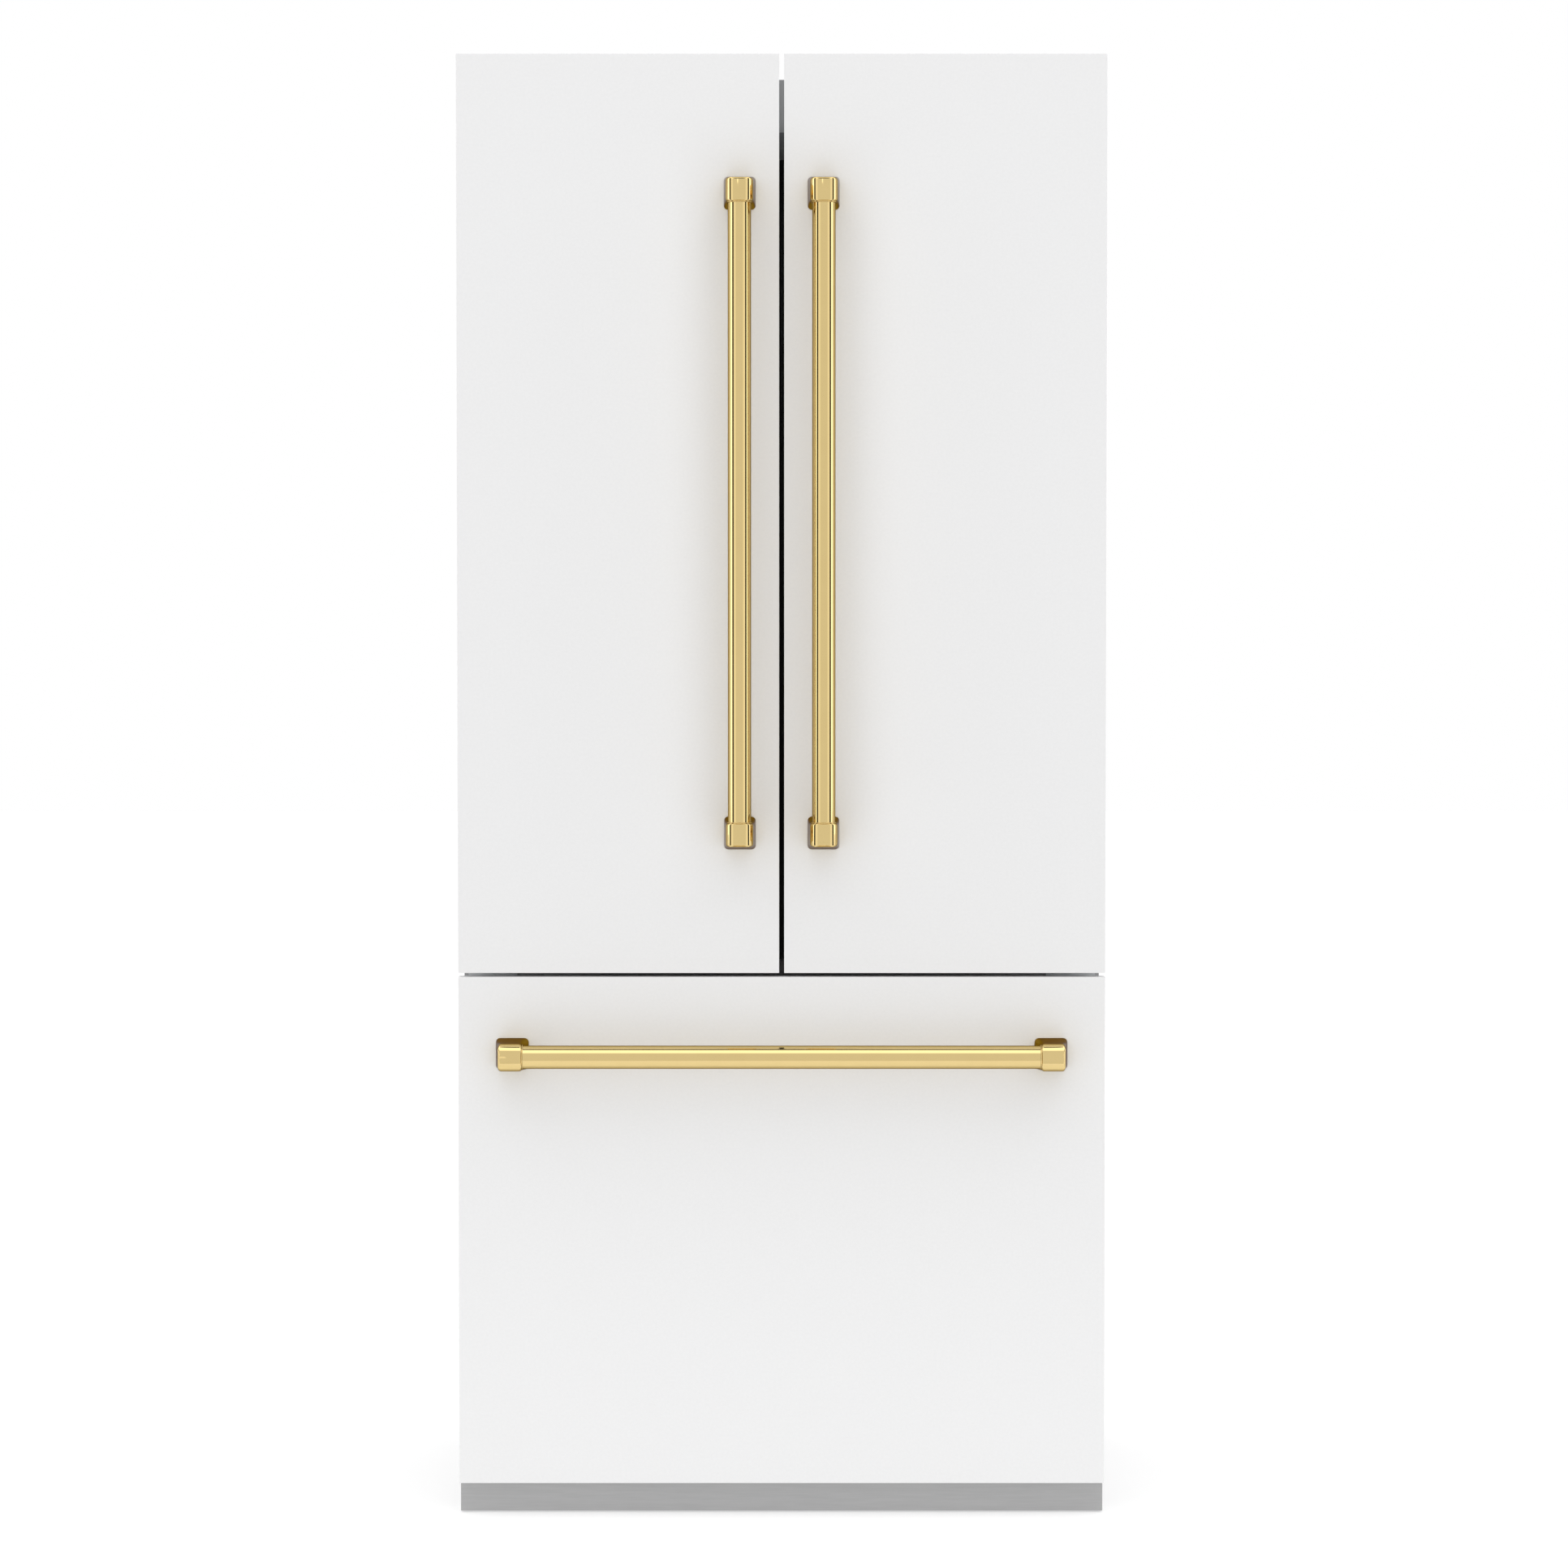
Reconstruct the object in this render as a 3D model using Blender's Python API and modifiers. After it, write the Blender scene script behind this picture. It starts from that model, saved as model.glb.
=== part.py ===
# French door refrigerator with bottom freezer drawer, built-in style, flat overlay panels.
# Frame: metres, +Z up, front faces -Y, origin at the centre of the footprint on the floor.
# All dimensions below are written in millimetres and multiplied by MM.
import math

import bmesh
import bpy
from mathutils import Matrix, Vector

MM = 0.001

# ---------------------------------------------------------------- driving dimensions (mm)
HEIGHT = 2032.0            # floor to the top edge of the doors
PANEL_HALF_W = 450.0       # half the width over the overlay panels
PANEL_FRONT = -273.0       # front face of doors and drawer
PANEL_DEPTH = 20.0         # depth of the folded steel pan
PANEL_SHEET = 1.2
CENTRE_GAP = 3.5           # half the gap between the two doors
DOOR_BOTTOM = 759.5
DRAWER_TOP = 754.0
DRAWER_BOTTOM = 46.0
CASE_HALF_W = 447.0
CASE_FRONT = -196.5
CASE_BACK = 331.0
CASE_BOTTOM = 60.0
CASE_TOP = 2006.0
LINER_HALF_W = 405.0       # outside of the liners, wall 2 mm
LINER_WALL = 2.0
FRIDGE_Z = (800.0, 1900.0)
FREEZER_Z = (128.0, 700.0)
LINER_BACK = 274.0
PIVOT_X = 432.0            # door hinge axes
PIVOT_Y = -243.0
BODY_INNER = 11.5          # free edge of the insulated door body
BODY_OUTER = 442.0
BODY_BACK = -208.0
BODY_Z = (776.0, 1928.0)
GASKET_Y = (-207.7, -197.2)
HANDLE_X = 58.0
HANDLE_R = 16.0
HANDLE_Y = -318.0          # axis of every handle bar, 45 mm clear of the panel
HANDLE_Z = (938.0, 1856.0)
DRAWER_HANDLE_Z = 647.0
DRAWER_HANDLE_HALF = 391.0
MULLION_X = -29.0          # fold axis of the flipper mullion, on the left door
MULLION_Y = -186.5
SHELF_Z = (1290.4, 1535.4) # undersides of the two glass shelves
RIB_TOPS = (1068.0, 1180.0, 1290.0, 1412.0, 1535.0, 1660.0)
BIN_Z = ((862.0, 990.0), (1190.0, 1300.0), (1510.0, 1610.0))
BIN_BACK = (-138.0, -105.0, -105.0)     # the lowest bin is shallower, to clear the crispers
CRISPER_Y = (-2.0, 256.0)

# ---------------------------------------------------------------- scene
for stale in list(bpy.data.objects):
    bpy.data.objects.remove(stale, do_unlink=True)

parts = bpy.data.collections.new("french_door_refrigerator")
helpers = bpy.data.collections.new("cutters")
bpy.context.scene.collection.children.link(parts)
bpy.context.scene.collection.children.link(helpers)


def material(name, rgb, roughness, metallic=0.0, alpha=1.0):
    m = bpy.data.materials.new(name)
    m.use_nodes = True
    shader = m.node_tree.nodes["Principled BSDF"]
    shader.inputs["Base Color"].default_value = (*rgb, 1.0)
    shader.inputs["Roughness"].default_value = roughness
    shader.inputs["Metallic"].default_value = metallic
    shader.inputs["Alpha"].default_value = alpha
    return m


WHITE = material("white_matte_panel", (0.84, 0.84, 0.84), 0.55)
GOLD = material("polished_gold", (0.86, 0.69, 0.36), 0.12, 1.0)
GREY = material("grey_painted_steel", (0.55, 0.55, 0.56), 0.45, 0.2)
KICK = material("kick_plate_steel", (0.62, 0.62, 0.63), 0.4, 0.4)
FOAM = material("polyurethane_foam", (0.82, 0.74, 0.52), 0.95)
LINER = material("white_liner", (0.90, 0.91, 0.92), 0.30)
DOOR = material("door_liner_plastic", (0.88, 0.89, 0.90), 0.35)
BLACK = material("black_rubber", (0.015, 0.015, 0.015), 0.6)
DARK = material("dark_grey_plastic", (0.10, 0.10, 0.11), 0.5)
CLEAR = material("clear_bin", (0.80, 0.88, 0.92), 0.08, 0.0, 0.35)
GLASS = material("shelf_glass", (0.80, 0.92, 0.90), 0.05, 0.0, 0.35)
TRIM = material("satin_trim", (0.78, 0.79, 0.80), 0.30, 0.6)
ZINC = material("zinc_steel", (0.66, 0.67, 0.68), 0.35, 0.9)
COPPER = material("copper_tube", (0.72, 0.42, 0.28), 0.3, 1.0)
SHELL = material("compressor_black", (0.03, 0.03, 0.032), 0.35, 0.3)


def finish(obj, mat, parent=None):
    obj.data.materials.clear()
    obj.data.materials.append(mat)
    parts.objects.link(obj)
    if parent:
        hang(obj, parent)
    return obj


def hang(obj, parent):
    bpy.context.view_layer.update()
    obj.parent = parent
    obj.matrix_parent_inverse = parent.matrix_world.inverted()


def joint(name, x, y, z):
    empty = bpy.data.objects.new(name, None)
    empty.empty_display_size = 0.05
    empty.location = Vector((x, y, z)) * MM
    helpers.objects.link(empty)
    return empty


def from_bmesh(name, bm, location=(0, 0, 0)):
    mesh = bpy.data.meshes.new(name)
    bm.normal_update()
    bm.to_mesh(mesh)
    bm.free()
    obj = bpy.data.objects.new(name, mesh)
    obj.location = location
    return obj


def block(name, x, y, z):
    """A box between two corners, its origin at its centre."""
    size = Vector((x[1] - x[0], y[1] - y[0], z[1] - z[0])) * MM
    centre = Vector((x[0] + x[1], y[0] + y[1], z[0] + z[1])) * MM / 2
    bm = bmesh.new()
    bmesh.ops.create_cube(bm, size=1.0)
    bmesh.ops.scale(bm, vec=size, verts=bm.verts)
    return from_bmesh(name, bm, centre)


def side(s, lo, hi):
    """The x span from lo to hi on the right side, or its mirror image on the left."""
    return (lo, hi) if s > 0 else (-hi, -lo)


def rod(name, centre, radius, length, axis="Z", segments=24):
    bm = bmesh.new()
    bmesh.ops.create_cone(bm, cap_ends=True, segments=segments, radius1=radius * MM, radius2=radius * MM, depth=length * MM)
    if axis == "X":
        bmesh.ops.rotate(bm, cent=(0, 0, 0), matrix=Matrix.Rotation(math.pi / 2, 3, "Y"), verts=bm.verts)
    elif axis == "Y":
        bmesh.ops.rotate(bm, cent=(0, 0, 0), matrix=Matrix.Rotation(math.pi / 2, 3, "X"), verts=bm.verts)
    return from_bmesh(name, bm, Vector(centre) * MM)


def outline(name, points, z, segments_closed=True):
    """A flat plate: a filled 2D curve extruded between two heights, turned into a mesh."""
    curve = bpy.data.curves.new(name, "CURVE")
    curve.dimensions = "2D"
    curve.fill_mode = "BOTH"
    curve.extrude = (z[1] - z[0]) * MM / 2
    spline = curve.splines.new("POLY")
    spline.points.add(len(points) - 1)
    for p, (px, py) in zip(spline.points, points):
        p.co = (px * MM, py * MM, 0, 1)
    spline.use_cyclic_u = segments_closed
    source = bpy.data.objects.new(name + "_curve", curve)
    source.location = (0, 0, (z[0] + z[1]) * MM / 2)
    bpy.context.scene.collection.objects.link(source)
    return meshed(source, name)


def tube(name, points, radius, resolution=1):
    curve = bpy.data.curves.new(name, "CURVE")
    curve.dimensions = "3D"
    curve.bevel_depth = radius * MM
    curve.bevel_resolution = resolution
    curve.use_fill_caps = True
    spline = curve.splines.new("POLY")
    spline.points.add(len(points) - 1)
    for p, q in zip(spline.points, points):
        p.co = (q[0] * MM, q[1] * MM, q[2] * MM, 1)
    source = bpy.data.objects.new(name + "_curve", curve)
    bpy.context.scene.collection.objects.link(source)
    return meshed(source, name)


def meshed(source, name):
    """The evaluated curve as a welded mesh object."""
    bpy.context.view_layer.update()
    graph = bpy.context.evaluated_depsgraph_get()
    mesh = bpy.data.meshes.new_from_object(source.evaluated_get(graph))
    bm = bmesh.new()
    bm.from_mesh(mesh)
    bmesh.ops.remove_doubles(bm, verts=bm.verts, dist=0.00001)
    bmesh.ops.recalc_face_normals(bm, faces=bm.faces)
    bm.to_mesh(mesh)
    bm.free()
    obj = bpy.data.objects.new(name, mesh)
    obj.matrix_world = source.matrix_world
    bpy.data.objects.remove(source, do_unlink=True)
    return obj


def boolean(obj, other, operation):
    helpers.objects.link(other)
    other.hide_render = True
    other.display_type = "WIRE"
    mod = obj.modifiers.new(operation.lower(), "BOOLEAN")
    mod.operation = operation
    mod.object = other
    mod.solver = "EXACT"
    return obj


def cut(obj, *cutters):
    for c in cutters:
        boolean(obj, c, "DIFFERENCE")
    return obj


def join(obj, *others):
    for o in others:
        boolean(obj, o, "UNION")
    return obj


def open_box(name, x, y, z, missing, wall):
    """A sheet box whose faces named in missing are open: its outside is the given size and its wall grows inwards."""
    obj = block(name, x, y, z)
    bm = bmesh.new()
    bm.from_mesh(obj.data)
    away = {"-X": (-1, 0, 0), "+X": (1, 0, 0), "-Y": (0, -1, 0), "+Y": (0, 1, 0), "-Z": (0, 0, -1), "+Z": (0, 0, 1)}
    bm.faces.ensure_lookup_table()
    gone = [f for f in bm.faces if any(f.normal.dot(Vector(away[m])) > 0.9 for m in missing)]
    bmesh.ops.delete(bm, geom=gone, context="FACES")
    bm.to_mesh(obj.data)
    bm.free()
    shell = obj.modifiers.new("wall", "SOLIDIFY")
    shell.thickness = wall * MM
    shell.offset = -1.0
    shell.use_even_offset = True
    return obj


def soften(obj, width, segments=1, angle=40):
    b = obj.modifiers.new("edges", "BEVEL")
    b.width = width * MM
    b.segments = segments
    b.limit_method = "ANGLE"
    b.angle_limit = math.radians(angle)
    return obj


def smooth(obj, angle=35):
    obj.data.shade_smooth()
    obj.data.set_sharp_from_angle(angle=math.radians(angle))
    return obj


def arc(cx, cy, r, start, end, n):
    return [
        (cx + r * math.cos(math.radians(start + (end - start) * i / n)), cy + r * math.sin(math.radians(start + (end - start) * i / n)))
        for i in range(n + 1)
    ]


# ---------------------------------------------------------------- cabinet
# Painted steel case: sides, top, bottom and a front flange with two windows, open at the back.
case = open_box("cabinet_case", (-CASE_HALF_W, CASE_HALF_W), (CASE_FRONT, CASE_BACK), (CASE_BOTTOM, CASE_TOP), ["+Y"], 1.0)
for i, (z0, z1) in enumerate((FRIDGE_Z, FREEZER_Z)):
    cut(case, block(f"cut_window_{i}", (-LINER_HALF_W + 2, LINER_HALF_W - 2), (-215, -185), (z0 + 2, z1 - 2)))
finish(case, GREY)

# Back sheet with vent slots over the machine compartment, wall bumpers and the supply cord's gland.
back = block("cabinet_back", (-CASE_HALF_W, CASE_HALF_W), (331.4, 333.0), (CASE_BOTTOM, CASE_TOP))
for i in range(6):
    cut(back, block(f"cut_vent_{i}", (-340, -60), (325, 340), (110 + i * 26, 120 + i * 26)))
join(back, rod("bumper_left", (-380, 334.5, 1880), 14, 5, "Y"), rod("bumper_right", (380, 334.5, 1880), 14, 5, "Y"))
gland = rod("gland", (330, 334.5, 150), 13, 5, "Y")
join(back, gland)
cut(back, rod("cut_gland", (330, 336, 150), 5, 6, "Y", 16))
finish(back, ZINC)

# Foamed-in insulation round both compartments, with the machine compartment left open at the lower back.
foam = block("insulation_foam", (-445.6, 445.6), (-195.1, 330.7), (61.4, 2004.6))
cut(
    foam,
    block("cut_fridge", (-405.4, 405.4), (-300, 274.4), (799.6, 1900.4)),
    block("cut_freezer_upper", (-405.4, 405.4), (-300, 274.4), (332.6, 700.4)),
    block("cut_freezer_lower", (-405.4, 405.4), (-300, 92.4), (127.6, 340)),
    block("cut_machine", (-400, 400), (124, 345), (50, 296)),
)
finish(foam, FOAM)

# Fridge liner with shelf ribs moulded in its side walls.
liner = open_box("fridge_liner", (-LINER_HALF_W, LINER_HALF_W), (-195.2, LINER_BACK), FRIDGE_Z, ["-Y"], LINER_WALL)
for i, top in enumerate(RIB_TOPS):
    for s in (-1, 1):
        join(liner, block(f"rib_{i}_{s}", side(s, 391, 404), (-80, 252), (top - 9, top)))
finish(liner, LINER)

# Freezer liner with the step over the machine compartment and the ledges of the upper basket.
cold = block("freezer_liner", (-LINER_HALF_W, LINER_HALF_W), (-195.2, LINER_BACK), FREEZER_Z)
cut(
    cold,
    block("cut_cold_upper", (-403, 403), (-260, 272), (337, 698)),
    block("cut_cold_lower", (-403, 403), (-260, 88), (130, 345)),
    block("cut_cold_step", (-500, 500), (92, 300), (100, 333)),
)
for s in (-1, 1):
    join(cold, block(f"ledge_{s}", side(s, 391, 404), (-170, 200), (434, 440)))
finish(cold, LINER)

# Ladder frame under the case, with rear feet, kick plate arms and threaded holes for the front legs.
base = block("base_frame", (-384, 384), (-186, -162), (34, 59.6))
join(
    base,
    block("rail_left", (-384, -360), (-186.5, 322.5), (34.5, 59)),
    block("rail_right", (360, 384), (-186.5, 322.5), (34.5, 59)),
    block("cross_middle", (-370, 370), (60, 84), (36, 58)),
    block("cross_rear", (-383, 383), (298, 322), (36, 58)),
    rod("skid_left", (-372, 310, 18), 11, 36),
    rod("skid_right", (372, 310, 18), 11, 36),
    block("arm_left", (-310, -290), (-247, -170), (40, 50)),
    block("arm_right", (290, 310), (-247, -170), (40, 50)),
)
cut(base, rod("cut_leg_left", (-372, -174, 43), 6.4, 20, "Z", 20), rod("cut_leg_right", (372, -174, 43), 6.4, 20, "Z", 20))
finish(base, ZINC)

for name, s in (("front_leg_left", -1), ("front_leg_right", 1)):
    leg = rod(name, (s * 372, -174, 4.5), 21, 9, "Z", 32)
    join(leg, rod(name + "_stem", (s * 372, -174, 29), 6, 42, "Z", 20))
    finish(leg, DARK)

kick = open_box("kick_plate", (-449.5, 449.5), (-249, -198), (2, 104), ["+Y", "+Z", "-Z"], 1.5)
finish(kick, KICK)

# Machine compartment: compressor, condenser and fan.
profile = [(30, 205), (58, 200), (76, 184), (82, 160), (82, 108), (78, 86), (60, 74), (26, 68)]
bm = bmesh.new()
ring = [bm.verts.new((r * MM, 0, z * MM)) for r, z in profile]
for a, b in zip(ring, ring[1:]):
    bm.edges.new((a, b))
compressor = from_bmesh("compressor", bm, Vector((250, 226, 0)) * MM)
turn = compressor.modifiers.new("turn", "SCREW")
turn.angle = math.tau
turn.steps = turn.render_steps = 24
turn.use_merge_vertices = True
turn.merge_threshold = 0.0001
bm = bmesh.new()
bm.from_mesh(compressor.data)
top = bm.verts.new((0, 0, 207 * MM))
bottom = bm.verts.new((0, 0, 66 * MM))
bm.verts.ensure_lookup_table()
bm.edges.new((top, bm.verts[0]))
bm.edges.new((bm.verts[len(profile) - 1], bottom))
bm.to_mesh(compressor.data)
bm.free()
join(
    compressor,
    block("compressor_feet", (165, 335), (212, 240), (61.6, 76)),
    block("compressor_terminal", (200, 232), (140, 160), (120, 165)),
    rod("compressor_stub", (318, 226, 220), 4, 60, "Z", 12),
)
finish(compressor, SHELL)


def serpentine(x0, x1, y, z0, pitch, passes, bend=4):
    """Passes along X joined by half-turn bends, climbing in Z."""
    points = []
    r = pitch / 2
    for i in range(passes):
        z = z0 + i * pitch
        ends = (x0, x1) if i % 2 == 0 else (x1, x0)
        points += [(ends[0], y, z), (ends[1], y, z)]
        if i < passes - 1:
            way = 1 if i % 2 == 0 else -1
            for k in range(1, bend):
                a = math.pi * k / bend
                points.append((ends[1] + way * r * math.sin(a), y, z + r - r * math.cos(a)))
    return points


finish(tube("condenser_coil", serpentine(-350, -90, 250, 88, 22, 9), 4.0), COPPER)

shroud = block("condenser_fan_shroud", (-40, -22), (150, 320), (62.0, 232))
cut(shroud, rod("cut_shroud", (-31, 235, 147), 74, 40, "X", 32))
join(
    shroud,
    block("motor_arm", (-39, -32), (155, 315), (141, 153)),
    rod("motor_body", (-42, 235, 147), 20, 22, "X", 20),
    rod("motor_shaft", (-18, 235, 147), 2.5, 40, "X", 12),
)
finish(shroud, DARK)


def fan(name, centre, axis, hub_r, tip_r, length, bore_r, blades, parent):
    """Hub with pitched blades, turning about a bore."""
    hub = rod(name, centre, hub_r, length, axis, 20)
    for i in range(blades):
        bm = bmesh.new()
        bmesh.ops.create_cube(bm, size=1.0)
        reach = tip_r - hub_r + 4
        bmesh.ops.scale(bm, vec=Vector((length * 0.9, hub_r * 1.15, reach)) * MM, verts=bm.verts)
        thin = Vector((0.12, 1.0, 1.0))
        bmesh.ops.scale(bm, vec=thin, verts=bm.verts)
        bmesh.ops.rotate(bm, cent=(0, 0, 0), matrix=Matrix.Rotation(math.radians(52), 3, "Z"), verts=bm.verts)
        bmesh.ops.translate(bm, vec=(0, 0, (hub_r - 4 + reach / 2) * MM), verts=bm.verts)
        bmesh.ops.rotate(bm, cent=(0, 0, 0), matrix=Matrix.Rotation(math.tau * i / blades, 3, "X"), verts=bm.verts)
        if axis == "Y":
            bmesh.ops.rotate(bm, cent=(0, 0, 0), matrix=Matrix.Rotation(math.pi / 2, 3, "Z"), verts=bm.verts)
        join(hub, from_bmesh(f"{name}_blade_{i}", bm, Vector(centre) * MM))
    cut(hub, rod(name + "_bore", centre, bore_r, length + 30, axis, 16))
    return finish(hub, DARK, parent)


condenser_spin = joint("condenser_fan_joint", -14, 235, 147)
fan("condenser_fan", (-13, 235, 147), "X", 18, 70, 14, 2.9, 5, condenser_spin)

# Evaporator side of the freezer: cover with slots and motor boss, coil and fan behind it.
cover = block("freezer_back_cover", (-398, 398), (205, 213), (342, 694))
for i in range(3):
    cut(cover, block(f"cut_return_{i}", (-160 + i * 110, -60 + i * 110), (195, 225), (352, 360)))
for i, s in enumerate((-1, 1)):
    for k in range(3):
        cut(cover, block(f"cut_supply_{i}_{k}", side(s, 24, 84), (195, 225), (610 + k * 18, 618 + k * 18)))
join(cover, rod("evap_motor", (0, 217, 632), 16, 12, "Y", 20), rod("evap_shaft", (0, 232, 632), 2.5, 26, "Y", 12))
finish(cover, LINER)
finish(tube("evaporator_coil", serpentine(-320, 320, 244, 362, 26, 8), 5.0), COPPER)
evaporator_spin = joint("evaporator_fan_joint", 0, 234, 632)
fan("evaporator_fan", (0, 235, 632), "Y", 13, 44, 14, 2.9, 5, evaporator_spin)

# Fridge interior.
duct = soften(block("air_duct_cover", (-160, 160), (256, 271.6), (1090, 1880)), 5)
finish(duct, LINER)
control = soften(block("control_panel", (-230, 230), (-92, 30), (1866, 1897.6)), 6)
finish(control, TRIM)

for name, z in (("lower_shelf", SHELF_Z[0]), ("upper_shelf", SHELF_Z[1])):
    frame = block(name + "_frame", (-401, 401), (-84, 252), (z, z + 16))
    cut(
        frame,
        block(name + "_pocket", (-392, 392), (-70, 240), (z + 10, z + 30)),
        block(name + "_opening", (-380, 380), (-58, 228), (z - 10, z + 30)),
    )
    finish(frame, TRIM)
    finish(block(name + "_glass", (-391.6, 391.6), (-69.6, 239.6), (z + 10.4, z + 15.4)), GLASS)

shelf = block("crisper_cover", (-401, 401), (-62, 252), (1068.4, 1079))
join(shelf, block("crisper_divider", (-2.5, 2.5), (-8, 250), (803, 1070)))
finish(shelf, GLASS)

for name, s in (("crisper_left", -1), ("crisper_right", 1)):
    slide = joint(name + "_joint", s * 200, CRISPER_Y[0], 900)
    drawer = open_box(name, side(s, 6, 399), CRISPER_Y, (806, 1046), ["+Z"], 3.0)
    join(drawer, block(name + "_grip", side(s, 7, 398), (CRISPER_Y[0] - 9, CRISPER_Y[0] + 2), (1014, 1045)))
    finish(drawer, CLEAR, slide)

# Mullion guide on the ceiling front edge, with the nose that shows in the centre gap.
guide = block("mullion_guide", (-45, 45), (-192, -152), (1889, 1897.6))
join(
    guide,
    block("guide_tongue", (-8, 8), (-207, -160), (1889.5, 1897.2)),
    block("guide_nose", (-7.9, 7.9), (-208, -197), (1889.7, 1931)),
)
finish(guide, DARK)

# ---------------------------------------------------------------- hinges on the cabinet
def hinge_plate(name, s, z, z_flange, pin, shoulder):
    shape = [(-60, 46.1), (-60, 28), (-22, 9.5)] + arc(0, 0, 9, 135, 380, 12) + [(-4, 20), (-4, 46.1)]
    shape = [(s * (PIVOT_X + x), PIVOT_Y + y) for x, y in shape]
    plate = outline(name, shape, z)
    join(
        plate,
        block(name + "_flange", side(s, PIVOT_X - 59.5, PIVOT_X + 9), (-200.9, -196.9), z_flange),
        rod(name + "_pin", (s * PIVOT_X, PIVOT_Y, (pin[0] + pin[1]) / 2), 6, pin[1] - pin[0], "Z", 24),
        rod(name + "_shoulder", (s * PIVOT_X, PIVOT_Y, (shoulder[0] + shoulder[1]) / 2), 8.5, shoulder[1] - shoulder[0], "Z", 24),
    )
    return finish(plate, ZINC)


for tag, s in (("left", -1), ("right", 1)):
    hinge_plate(f"upper_hinge_{tag}", s, (1932.5, 1938.5), (1933, 1986), (1909, 1935), (1928.5, 1934))
    hinge_plate(f"centre_hinge_{tag}", s, (764.0, 770.0), (731, 769.5), (767, 793), (768, 775.5))


# ---------------------------------------------------------------- handles
def along_z(plate):
    """Stands a flat plate up: its drawing's x runs along Z and its thickness along X."""
    plate.data.transform(Matrix.Rotation(-math.pi / 2, 4, "Y") @ plate.matrix_world)
    plate.matrix_world = Matrix.Identity(4)
    return plate


def post(name, outer, toward, axis_point, along, parent):
    """End bracket of a bar handle: a tapered foot on the panel that ends in a round nose about the bar.
    It is the common part of two extruded outlines, one seen along the bar and one seen across it.
    outer is the nose's far end along the bar, toward is +1 or -1 pointing to the bar's middle."""
    foot, waist, nose = PANEL_FRONT - 0.3, HANDLE_Y + 4, 19.0
    across = [(-22, foot), (-19.4, waist)] + arc(0, HANDLE_Y, nose, 190, 350, 10) + [(19.4, waist), (22, foot)]
    front = HANDLE_Y - nose - 1
    lengthwise = [
        (outer - toward * 6.5, foot + 1),
        (outer, waist),
        (outer, front),
        (outer + toward * 33, front),
        (outer + toward * 33, waist),
        (outer + toward * 39.5, foot + 1),
    ]
    far = sorted((outer - toward * 10, outer + toward * 45))
    if along == "Z":
        obj = outline(name, [(axis_point + x, y) for x, y in across], far)
        other = along_z(outline(name + "_taper", lengthwise, (-axis_point - 30, -axis_point + 30)))
    else:
        obj = outline(name, lengthwise, (axis_point - 30, axis_point + 30))
        other = along_z(outline(name + "_taper", [(axis_point + x, y) for x, y in across], (-far[1], -far[0])))
    boolean(obj, other, "INTERSECT")
    # socket for the bar, open towards the handle's middle
    inner = outer + toward * 8
    middle = (inner + outer + toward * 60) / 2
    length = abs(outer + toward * 60 - inner)
    spot = (axis_point, HANDLE_Y, middle) if along == "Z" else (middle, HANDLE_Y, axis_point)
    cut(obj, rod(name + "_socket", spot, HANDLE_R + 0.35, length, along, 32))
    return finish(smooth(obj), GOLD, parent)


def bar(name, axis_point, span, along, parent):
    middle = (span[0] + span[1]) / 2
    spot = (axis_point, HANDLE_Y, middle) if along == "Z" else (middle, HANDLE_Y, axis_point)
    obj = rod(name, spot, HANDLE_R, span[1] - span[0], along, 32)
    cut(obj, rod(name + "_bore", spot, HANDLE_R - 2, span[1] - span[0] + 20, along, 16))
    return finish(smooth(obj), GOLD, parent)


# ---------------------------------------------------------------- doors
def overlay(name, x, z, parent):
    pan = open_box(name, x, (PANEL_FRONT, PANEL_FRONT + PANEL_DEPTH), z, ["+Y"], PANEL_SHEET)
    return finish(pan, WHITE, parent)


def ring_seal(name, x, z, width, parent, fin=None):
    seal = block(name, x, GASKET_Y, z)
    cut(seal, block(name + "_hole", (x[0] + width, x[1] - width), (-220, -185), (z[0] + width, z[1] - width)))
    if fin:
        join(seal, block(name + "_fin", fin, (-206, -204), (783, 1889.2)))
    return finish(seal, BLACK, parent)


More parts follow.
